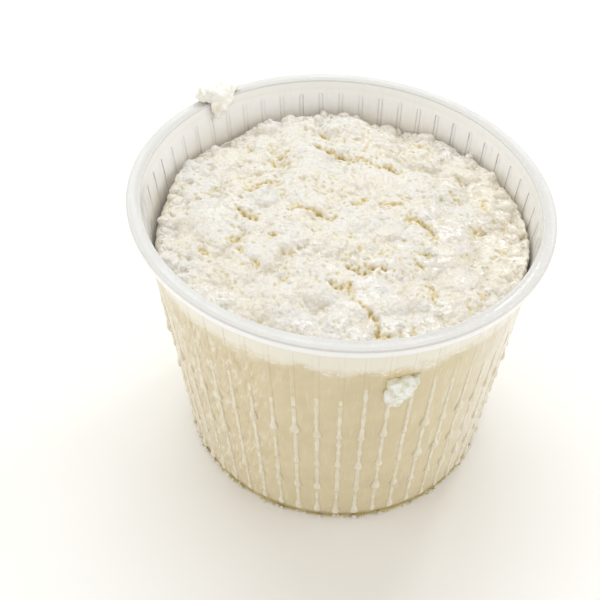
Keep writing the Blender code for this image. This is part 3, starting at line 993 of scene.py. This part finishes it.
def build_curd(material):
    """One closed mass: the grainy top on a disc grid, a rounded shoulder, the side and the bottom."""
    count = TOP_COUNT
    unit_x, unit_y = unit_disc(count)
    turn = np.arctan2(unit_x, -unit_y)
    uneven = wave_field(around(2.5, turn, 4.0), 1.0, 50)
    side_radius = wall_inner(SHOULDER) - GAP - curd_gap(turn)
    border_radius = side_radius - EDGE_INSET * (1 + 0.5 * uneven) * (1 - 0.75 * right_side(turn))
    x, y = unit_x * border_radius, unit_y * border_radius
    z, stain = curd_surface(x, y)
    z = soften(z, 1)
    # How far each point lies below its softened surroundings, for the painted shade in the hollows.
    hollow = np.clip((soften(z, 7) - z) / 0.00022, 0, 1)
    rim = edge_of_grid(count)
    angle = turn.ravel()[rim]
    top = np.stack([x, y, z], axis=-1).reshape(-1, 3)

    start_radius, start_z = border_radius.ravel()[rim], z.ravel()[rim]
    end_radius = side_radius.ravel()[rim]
    end_z = SHOULDER + EDGE_UNEVEN * uneven.ravel()[rim] + 1.6 * RIGHT_RISE * right_side(angle)
    rings = []
    for part in np.linspace(0, 1, 7)[1:]:
        bow = part * math.pi / 2
        radius = start_radius + (end_radius - start_radius) * math.sin(bow)
        height = end_z + (start_z - end_z) * math.cos(bow)
        bead = grain_layer(angle * RIM_RADIUS, height, 0.0024, 9) - 0.6
        rings.append(around(radius + 0.0009 * bead * math.sin(math.pi * part), angle, height))
    bottom = FOOT_HEIGHT + FLOOR_THICKNESS + GAP
    back = end_radius - wall_inner(SHOULDER) + GAP
    for part in np.linspace(0, 1, 9)[1:]:
        height = end_z + (bottom - end_z) * part
        rings.append(around(wall_inner(height) - GAP + back * (1 - ease(part, 0, 0.4)), angle, height))

    side = np.concatenate(rings)
    base = len(top)
    quads = grid_quads(count, count, wrap=False)[:, ::-1]
    ring = len(rim)
    here = np.arange(ring)
    ahead = np.roll(here, -1)
    band = np.stack([base + here, base + ahead, rim[ahead], rim], axis=-1)
    sides = base + grid_quads(len(rings), ring)[:, ::-1]
    last = base + (len(rings) - 1) * ring + here
    hub = base + len(side)
    fan = np.stack([np.full(ring, hub), np.roll(last, -1), last], axis=-1)
    points = settle(np.concatenate([top, side, [[0, 0, bottom]]]))
    below = np.full(len(side) + 1, 0.1)
    fields = {"cavity": np.append(stain.ravel(), below), "hollow": np.append(hollow.ravel(), below),
              "wetness": curd_wetness(points)}
    piece = put_mesh("ricotta_mass", points, [quads, band, sides, fan], material, fields)
    point_outwards(piece)
    dress(piece, "fresh_curd", "ricotta")


def scatter_blobs(name, material, places, sizes, rows, columns, seed, lump=0.3):
    """One piece of many uneven balls of curd, each with a middle and half sizes."""
    directions, faces = lump_grid(rows, columns)
    offsets = 7 * np.arange(len(places))[:, None, None]
    bump = 1 + lump * wave_field(directions * 0.9 + offsets, 0.8, seed)
    points = places[:, None, :] + directions * sizes[:, None, :] * bump[..., None]
    first = len(directions) * np.arange(len(places))[:, None, None]
    shapes = [(first + face).reshape(-1, face.shape[1]) for face in faces]
    none = np.zeros(points.shape[:2])
    fields = {"cavity": none, "hollow": none, "wetness": curd_wetness(points.reshape(-1, 3))}
    piece = put_mesh(name, settle(points).reshape(-1, 3), shapes, material, fields)
    dress(piece, "fresh_curd")


def curd_wetness(points):
    """Where the curd shines with whey: in soft patches, more of them to the right and the front."""
    wetness = 0.8 * ease(wave_field(points, 0.010, 51) + 6 * points[:, 0] - 3 * points[:, 1], -0.4, 0.9)
    for middle, reach in WET_SPOTS:
        apart = np.hypot(points[:, 0] / MM - middle[0], points[:, 1] / MM - middle[1])
        wetness = np.maximum(wetness, 1.4 * np.exp(-(apart / reach) ** 2))
    return wetness


def build_grains(material):
    """Loose grains of curd, half sunk: along the creases, in the crumbly parts and in a belt at the edge."""
    rng = np.random.default_rng(SEED + 3)
    reach = wall_inner(CURD_EDGE) - EDGE_INSET
    angle = math.tau * rng.random(GRAIN_TRIES)
    radius = (reach - curd_gap(angle)) * np.sqrt(rng.random(GRAIN_TRIES))
    places = around(radius, angle, 0.0)
    x, y = places[:, 0], places[:, 1]
    near = np.full(GRAIN_TRIES, 99.0)
    for _, _, *line in CREASES:
        near = np.minimum(near, line_distance(x / MM, y / MM, line))
    edge = ease(radius / reach, 0.86, 0.97)
    crumbly = ease(wave_field(places, 0.010, 45), -0.1, 0.6)
    wish = 0.05 * crumbly + 0.14 * edge + 0.06 * np.exp(-(near / 2.6) ** 2)
    wish = wish * (near > 0.7)
    for middle, half_sizes, _ in SMOOTH_PATCHES:
        wish = wish * (1 - 0.85 * patch_share(x, y, middle, half_sizes))
    keep = rng.random(GRAIN_TRIES) < wish
    places = places[keep]
    size = GRAIN_SIZE + GRAIN_GROWTH * rng.random(len(places)) ** 2
    places[:, 2] = curd_surface(places[:, 0], places[:, 1])[0] - 0.4 * size
    sizes = size[:, None] * rng.uniform(0.8, 1.2, (len(places), 3))
    scatter_blobs("curd_grains", material, places, sizes, 3, 7, 52)


def build_edge_lumps(material):
    """Soft lumps that make the curd's edge uneven where it nears the wall."""
    rng = np.random.default_rng(SEED + 4)
    angle = math.tau * (np.arange(EDGE_LUMPS) + rng.uniform(-0.8, 0.8, EDGE_LUMPS)) / EDGE_LUMPS
    size = LUMP_SIZE + LUMP_GROWTH * rng.random(EDGE_LUMPS) ** 1.5
    reach = wall_inner(CURD_EDGE) - EDGE_INSET - curd_gap(angle)
    radius = reach - rng.uniform(0.0002, 0.0040, EDGE_LUMPS)
    places = around(radius, angle, 0.0)
    places[:, 2] = curd_surface(places[:, 0], places[:, 1])[0] - 0.6 * size
    places[:, 2] -= 0.9 * np.maximum(radius - reach + 0.0004, 0)
    sizes = size[:, None] * rng.uniform(0.75, 1.25, (EDGE_LUMPS, 3))
    scatter_blobs("edge_lumps", material, places, sizes, 9, 14, 53, 0.45)


def point_outwards(piece):
    """Turns a closed mesh's faces so that their normals point outwards."""
    mesh = bmesh.new()
    mesh.from_mesh(piece.data)
    bmesh.ops.recalc_face_normals(mesh, faces=mesh.faces)
    mesh.to_mesh(piece.data)
    mesh.free()


# Curd in and below the slots

def tubes(section_half, proud, deep, angle, heights, back_share=0.7):
    """Closed ridges along the wall: at each height a half ellipse outside and a flat back inside.

    section_half, proud and heights hold one row for each ridge and one value for each station
    along it; the two end stations are drawn together to points by zero width. The back is this
    share of the front's width.
    """
    lap = np.radians(np.linspace(0, 180, FRONT_POINTS))
    back_x = back_share * np.linspace(-1, 1, BACK_POINTS)
    across = section_half[..., None] * np.concatenate([np.cos(lap), back_x])
    out = np.concatenate([np.sin(lap), np.zeros(BACK_POINTS)]) * proud[..., None]
    out = out - (np.arange(FRONT_POINTS + BACK_POINTS) >= FRONT_POINTS) * deep[..., None]
    radius = wall_outer(heights)[..., None] + out
    points = around(radius, angle[..., None] + across / radius, heights[..., None])
    ridges, stations, loop = points.shape[:3]
    quads = grid_quads(stations, loop)
    start, stop = np.arange(loop), (stations - 1) * loop + np.arange(loop)
    first = np.arange(ridges)[:, None, None] * stations * loop
    faces = (first + quads).reshape(-1, 4)
    caps = np.concatenate([fan_of(start), fan_of(stop)[:, ::-1]])
    return points.reshape(-1, 3), [faces, (first + caps).reshape(-1, 3)]


def fan_of(loop):
    """Triangles that close a loop of points from its first point."""
    return np.stack([np.full(len(loop) - 2, loop[0]), loop[2:], loop[1:-1]], axis=-1)


def drop_profile(heights, middle, below, above):
    """Share of a hanging drop's width: round below its middle and drawn out above it."""
    part = np.clip(np.abs(heights - middle) / np.where(heights < middle, below, above), 0, 1)
    return np.where(heights < middle, np.sqrt(np.maximum(1 - part ** 2, 0)), (1 - part ** 2) ** 1.5)


def build_ooze(material):
    """A thin column of curd down the wall at every slot: it fills the slots and ends each in a drop.

    Between two slots the column thins to a drip or sinks into the wall, and at the top it fades out.
    """
    rng = np.random.default_rng(SEED + 1)
    top = rng.uniform(*COLUMN_TOPS, SLOT_COUNT)[:, None]
    bottom = rng.uniform(*COLUMN_FEET, SLOT_COUNT)[:, None]
    heights = bottom + np.linspace(0, 1, COLUMN_STATIONS) * (top - bottom)
    middles = SLOT_MIDDLES[:, None]
    rough = around(0.06, middles, heights)
    drift = 0.00018 * wave_field(rough, 0.012, 60) / BASE_RADIUS
    half = COLUMN_HALF + 0.00026 * wave_field(rough, 0.0024, 61) + 0.00012 * wave_field(rough, 0.009, 62)
    proud = COLUMN_PROUD + 0.00015 * wave_field(rough, 0.0030, 63)
    proud = proud + 0.00025 * wave_field(rough, 0.020, 64)
    for row, (low, high) in enumerate(SLOT_ROWS[1:]):
        below = SLOT_ROWS[row][1]
        strength = rng.random(SLOT_COUNT)[:, None]
        above_slot = ease(heights, below - 0.0002, below + 0.0010)
        between = above_slot * (1 - ease(heights, low - 0.0012, low + 0.0004))
        proud = proud - between * (0.0002 + 0.0012 * (strength < 0.45))
        half = half * (1 - between * (0.25 + 0.3 * strength))
    for low, _ in SLOT_ROWS:
        size = rng.uniform(*DROP_HALF, SLOT_COUNT)[:, None]
        middle = low - rng.uniform(-0.0004, 0.0014, SLOT_COUNT)[:, None]
        swell = drop_profile(heights, middle, 0.9 * size, 3.2 * size)
        half = np.maximum(half, size * swell)
        proud = np.maximum(proud, (0.0003 + 0.45 * size) * swell)
    fade = 1 - ease(heights, top - COLUMN_FADE, top)
    proud = proud * fade - 0.0003 * (1 - fade)
    ends = np.sqrt(np.minimum(1, np.minimum(heights - bottom, top - heights) / 0.0010))
    points, faces = tubes(half * ends, proud * ends, COLUMN_DEEP * ends, middles + drift, heights)
    piece = put_mesh("oozed_columns", settle(points), faces, material)
    point_outwards(piece)
    dress(piece, "fresh_curd")


def build_whey_skins(material):
    """A skin of whey or curd in each slot, level with the wall, in its material and so nearly its colour."""
    half_slot = SLOT_WIDTH / 2
    lap = np.radians(np.linspace(90, 0, 5))
    loop = FRONT_POINTS + BACK_POINTS
    for name, rows in (("whey_skins", SLOT_ROWS[3:]), ("slot_fill", SLOT_ROWS[:3])):
        parts, shapes, levels, count = [], [], [], 0
        for low, high in rows:
            start, stop = low + half_slot, high - half_slot
            heights = np.concatenate([start - half_slot * np.sin(lap), np.linspace(start, stop, 8)[1:-1],
                                      stop + half_slot * np.sin(lap[::-1])])
            half = half_slot * np.concatenate([np.cos(lap), np.ones(6), np.cos(lap[::-1])])
            heights, half = (np.tile(values, (SLOT_COUNT, 1)) for values in (heights, SKIN_OVERLAP * half))
            proud, deep = np.full(half.shape, SKIN_PROUD), np.full(half.shape, SKIN_DEEP)
            points, faces = tubes(half, proud, deep, SLOT_MIDDLES[:, None], heights, 1.0)
            parts.append(points)
            levels.append(np.repeat(heights.ravel(), loop))
            shapes += [face + count for face in faces]
            count += len(points)
        points = np.concatenate(parts)
        fields = {"height": np.concatenate(levels), "inside": np.arange(count) % loop >= FRONT_POINTS}
        piece = put_mesh(name, settle(points), shapes, material, fields)
        point_outwards(piece)
        dress(piece, "natural_plastic")


# Loose curd

def lump_grid(rows, columns):
    """Directions over a sphere: rows from pole to pole, each pole one point."""
    polar = np.linspace(0, math.pi, rows + 2)[1:-1, None]
    turn = np.linspace(0, math.tau, columns, endpoint=False)[None, :]
    ring = np.stack(np.broadcast_arrays(np.sin(polar) * np.cos(turn), np.sin(polar) * np.sin(turn),
                                        np.cos(polar)), axis=-1).reshape(-1, 3)
    first = np.arange(columns)
    ahead = (first + 1) % columns
    last = (rows - 1) * columns
    north, south = rows * columns, rows * columns + 1
    caps = np.concatenate([np.stack([np.full(columns, north), first, ahead], axis=-1),
                           np.stack([np.full(columns, south), last + ahead, last + first], axis=-1)])
    directions = np.concatenate([ring, [[0, 0, 1], [0, 0, -1]]])
    return directions, [grid_quads(rows, columns)[:, ::-1], caps]


def clump_piece(name, blobs, angle, keep_clear, replaced, material, hollow, seed):
    """Balls of curd run together, each a middle and half sizes along, outwards and up, in mm.

    The hollow where whey gathers is a middle and a reach, in mm too.
    """
    outwards = np.array([math.sin(angle), -math.cos(angle), 0])
    along = np.array([math.cos(angle), math.sin(angle), 0])
    upwards = np.array([0, 0, 1.0])
    directions, faces = lump_grid(18, 26)
    parts, shapes, count = [], [], 0
    for place, sizes in blobs:
        bump = 1 + 0.35 * wave_field(directions + np.array(place), 0.8, seed)
        local = (directions * np.array(sizes) * bump[:, None] + np.array(place)) * MM
        parts.append(local[:, :1] * along + local[:, 1:2] * outwards + local[:, 2:] * upwards)
        shapes += [face + count for face in faces]
        count += len(directions)
    piece = put_mesh(name, np.concatenate(parts), shapes, material)
    merge_blobs(piece)
    points, normals = np.zeros((2, len(piece.data.vertices), 3))
    piece.data.vertices.foreach_get("co", points.ravel())
    piece.data.vertices.foreach_get("normal", normals.ravel())
    swell = 0.55 * wave_field(points, 0.0011, seed + 1) + 0.5 * wave_field(points, 0.0022, seed + 2)
    points, depth = keep_clear(points + CLUMP_RIPPLE * swell[:, None] * normals)
    (hollow_along, hollow_out, hollow_up), reach = hollow
    middle = (hollow_along * along + hollow_out * outwards + hollow_up * upwards) * MM
    pool = 0.5 * np.exp(-np.sum(((points - middle) / (reach * MM)) ** 2, axis=1))
    cavity = np.maximum(0.35 * ease(-swell, 0.2, 0.8), pool)
    piece.data.vertices.foreach_set("co", settle(points).astype(np.float32).ravel())
    carry(piece.data, {"cavity": cavity, "thin": 1 - ease(depth, 0.0003, 0.0021)})
    piece.data.shade_smooth()
    piece.data.update()
    dress(piece, "fresh_curd", replaced)


def merge_blobs(piece):
    """Fuses overlapping closed blobs into one skin and keeps the result as the piece's mesh."""
    fuse = piece.modifiers.new("fuse", "REMESH")
    fuse.mode = "VOXEL"
    fuse.voxel_size = CLUMP_VOXEL
    smooth = piece.modifiers.new("smooth", "SMOOTH")
    smooth.factor = 0.5
    smooth.iterations = 3
    evaluated = piece.evaluated_get(bpy.context.evaluated_depsgraph_get())
    fused = bpy.data.meshes.new_from_object(evaluated)
    piece.modifiers.clear()
    old = piece.data
    piece.data = fused
    bpy.data.meshes.remove(old)


def above_flange(points):
    """Nothing of the smear reaches far into the flange. The depth is that over the flange or off the wall."""
    radius = np.hypot(points[:, 0], points[:, 1])
    over = radius > RIM_RADIUS - FLANGE_WIDTH - 0.0004
    points[:, 2] = np.where(over, np.maximum(points[:, 2], HEIGHT - 0.0002), points[:, 2])
    return points, np.where(over, points[:, 2] - HEIGHT, wall_inner(points[:, 2]) - radius)


def outside_wall(points):
    """Nothing of the lump reaches far into the wall. The depth is that off the wall."""
    radius = np.hypot(points[:, 0], points[:, 1])
    wanted = np.maximum(radius, wall_outer(points[:, 2]) - GAP / 3)
    points[:, :2] *= (wanted / radius)[:, None]
    return points, wanted - wall_outer(points[:, 2])


SMEAR_ANGLE = math.radians(-136)
SMEAR_BLOBS = (
    ((-1.5, 64.6, 103.0), (4.6, 3.6, 2.4)), ((-5.6, 65.2, 102.6), (3.0, 1.9, 1.4)),
    ((3.2, 64.6, 103.2), (3.6, 3.3, 2.3)), ((6.2, 65.8, 102.8), (2.2, 2.0, 1.9)),
    ((1.0, 62.6, 103.1), (2.8, 2.2, 2.0)), ((-2.4, 66.4, 104.2), (2.2, 1.6, 1.4)),
    ((3.6, 63.6, 104.9), (1.8, 1.5, 1.4)), ((0.6, 65.6, 105.0), (1.5, 1.4, 1.1)),
    ((0.6, 61.4, 101.2), (3.2, 1.7, 2.2)), ((3.4, 61.2, 100.4), (1.8, 1.2, 2.0)),
    ((-2.6, 61.6, 101.4), (1.7, 1.2, 1.4)), ((1.6, 61.0, 98.8), (2.5, 1.5, 2.4)),
    ((3.6, 61.0, 97.2), (1.4, 1.1, 1.9)), ((-0.6, 61.2, 99.0), (1.5, 1.1, 1.7)),
    ((6.8, 66.0, 105.2), (0.8, 0.8, 1.6)), ((-2.2, 61.6, 99.9), (2.1, 1.2, 1.8)),
    ((4.4, 61.4, 100.2), (1.8, 1.2, 1.9)),
)

LUMP_ANGLE = math.radians(19)
LUMP_BLOBS = (
    ((-0.2, 62.6, 78.2), (4.2, 2.4, 4.0)), ((-2.4, 62.2, 74.2), (3.0, 2.0, 3.4)),
    ((3.0, 62.6, 80.8), (2.5, 1.6, 2.3)), ((-4.2, 62.3, 76.4), (1.7, 1.5, 2.0)),
    ((0.2, 63.2, 75.8), (2.0, 1.6, 2.2)), ((-2.2, 62.8, 81.0), (2.7, 1.5, 2.2)),
    ((4.0, 62.4, 81.8), (1.5, 1.1, 1.5)), ((0.9, 62.6, 82.0), (2.4, 1.3, 1.5)),
    ((-1.2, 61.8, 71.4), (1.5, 1.1, 2.0)),
)


def build_base_droplets(material):
    """Small drops of whey and curd where the foot meets the table: flattened balls, each with few faces."""
    rng = np.random.default_rng(SEED + 2)
    size = rng.uniform(*DROPLET_SIZES, DROPLETS)
    radius = BASE_RADIUS - FOOT_INSET + rng.uniform(0, 0.0011, DROPLETS)
    places = around(radius, rng.uniform(0, math.tau, DROPLETS), size)
    scatter_blobs("base_droplets", material, places, size[:, None] * np.array([1, 1, 0.8]), 4, 8, 54)


def run_whey():
    """Whey that has run down: a dull olive yellow, glossy."""
    paint = Paint("foot_whey", IOR=1.36, Coat_Weight=0.6, Coat_Roughness=0.05)
    cloud = paint.noise(0.006)
    paint.set(Base_Color=paint.clouds(cloud, (180, 163, 98), (207, 194, 140)), Roughness=0.15 + 0.2 * cloud)
    return paint.material


def build_foot_whey(material):
    """A thin uneven bead of whey that clings to the foot all round where it meets the table."""
    angle = math.tau * np.arange(RING) / RING
    along = around(BASE_RADIUS, angle, 0.0)
    swell = 1 + 0.6 * wave_field(along, 0.007, 65) + 0.4 * wave_field(along, 0.002, 66)
    lap = np.radians(np.linspace(0, 360, 11)[:-1])[:, None]
    radius = BASE_RADIUS - FOOT_INSET + BEAD_SIZE * swell * np.cos(lap)
    height = 0.0005 + BEAD_SIZE * np.clip(swell, 0.2, 1) * np.sin(lap)
    points = settle(around(radius, angle, height)).reshape(-1, 3)
    faces = grid_quads(len(lap) + 1, RING) % len(points)
    piece = put_mesh("foot_whey", points, [faces], material)
    point_outwards(piece)
    dress(piece, "fresh_curd")


# Table, light and camera

def build_stage():
    """The table, one flat square."""
    corners = TABLE_HALF * np.array([[-1, -1, 0], [1, -1, 0], [1, 1, 0], [-1, 1, 0]])
    table = put_mesh("table", corners, [np.array([[0, 1, 2, 3]])], white_table())


def add_light(name, place, size, power, colour):
    """A square soft light at a place, turned to the lit point."""
    data = bpy.data.lights.new(name, "AREA")
    data.size = size
    data.energy = power
    data.color = colour
    light = bpy.data.objects.new(name, data)
    light.location = place
    light.rotation_euler = (Vector(LIT_POINT) - Vector(place)).to_track_quat("-Z", "Y").to_euler()
    bpy.context.scene.collection.objects.link(light)


def build_light():
    """An even warm surround and the lights."""
    scene = bpy.context.scene
    scene.view_settings.view_transform = "Standard"
    world = bpy.data.worlds.new("studio")
    world.use_nodes = True
    background = world.node_tree.nodes["Background"]
    background.inputs["Color"].default_value = WORLD_COLOUR
    background.inputs["Strength"].default_value = WORLD_STRENGTH
    scene.world = world
    for light in LIGHTS:
        add_light(*light)


def build_camera():
    """Turned from its straight view of the rim's middle: rolled, then panned and tilted to its pixel."""
    right = Vector((1, 0, 0))
    back = Vector((0, -math.cos(CAMERA_ELEVATION), math.sin(CAMERA_ELEVATION)))
    up = back.cross(right)
    pan = math.atan((RIM_PIXEL[0] - PICTURE_SIZE / 2) / FOCAL_PIXELS)
    tilt = math.atan((PICTURE_SIZE / 2 - RIM_PIXEL[1]) / FOCAL_PIXELS)
    across = right * math.cos(CAMERA_ROLL) - up * math.sin(CAMERA_ROLL)
    upwards = right * math.sin(CAMERA_ROLL) + up * math.cos(CAMERA_ROLL)
    x_axis = across * math.cos(pan) - back * math.sin(pan)
    ahead = -across * math.sin(pan) - back * math.cos(pan)
    y_axis = upwards * math.cos(tilt) + ahead * math.sin(tilt)
    ahead = ahead * math.cos(tilt) - upwards * math.sin(tilt)
    data = bpy.data.cameras.new("camera")
    data.sensor_width = SENSOR
    data.lens = FOCAL_PIXELS * SENSOR / PICTURE_SIZE
    data.clip_start, data.clip_end = 0.01, 20
    camera = bpy.data.objects.new("camera", data)
    camera.matrix_world = Matrix.Translation(Vector((0, 0, HEIGHT)) + back * CAMERA_DISTANCE) @ Matrix(
        (x_axis, y_axis, -ahead)).transposed().to_4x4()
    bpy.context.scene.collection.objects.link(camera)
    bpy.context.scene.camera = camera


build_camera()
build_stage()
build_light()
plastic = natural_plastic()
build_tub(plastic)
crumb = fresh_curd("curd_crumb", 0.0)
build_curd(fresh_curd("fresh_curd", 0.4))
build_grains(crumb)
build_edge_lumps(crumb)
oozed = oozed_curd()
build_ooze(oozed)
build_whey_skins(plastic)
smeared = wet_clump("smeared_curd", (255, 253, 249), (250, 246, 236), (238, 216, 150), (236, 232, 222),
                    0.0004)
clump_piece("curd_smear", SMEAR_BLOBS, SMEAR_ANGLE, above_flange, "curd_on_rim", smeared,
            ((3.9, 60.4, 100.8), 1.7), 80)
# The lump's near-white light clouds are partly its paler curd and partly painted highlights.
glassy = wet_clump("glassy_curd", (255, 255, 251), (226, 226, 202), (222, 208, 158), (222, 215, 186),
                   0.0007)
clump_piece("curd_lump", LUMP_BLOBS, LUMP_ANGLE, outside_wall, "curd_on_wall", glassy,
            ((-3.6, 64.2, 77.4), 1.3), 90)
build_base_droplets(oozed)
build_foot_whey(run_whey())
